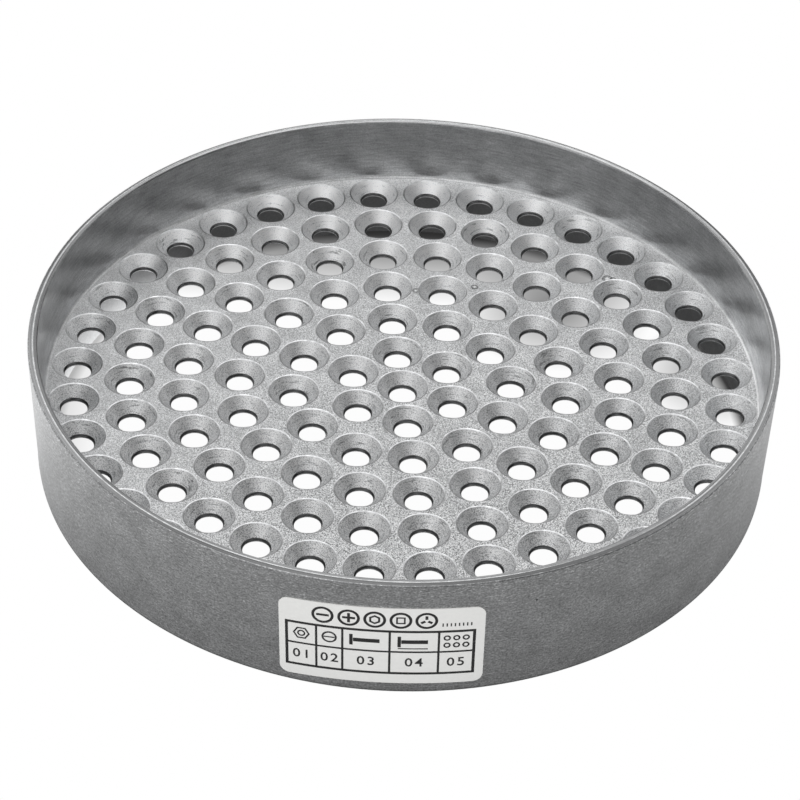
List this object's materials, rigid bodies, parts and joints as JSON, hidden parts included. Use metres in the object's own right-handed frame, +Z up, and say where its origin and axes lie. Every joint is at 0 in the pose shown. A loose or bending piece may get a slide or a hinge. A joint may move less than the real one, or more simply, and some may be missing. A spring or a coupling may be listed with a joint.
{
  "type": "screw tray",
  "caption": "Round cast aluminium screw tray: a drafted wall around a raised deck with rings of countersunk holes that screws drop into, and a paper label on the wall.",
  "frame": {"origin": "centre of the base ring, on the surface that the tray stands on", "axes": "+Z up out of the well, -Y towards the label, +X to the right seen from the label side"},
  "size_m": [0.1182, 0.1183, 0.0222],
  "materials": {
    "cast_aluminium": "tumbled casting, rim turned bright",
    "label_paper": "satin printed paper"
  },
  "bodies": {
    "root": {"tray_casting": "cast_aluminium", "label": "label_paper"}
  },
  "joints": []
}
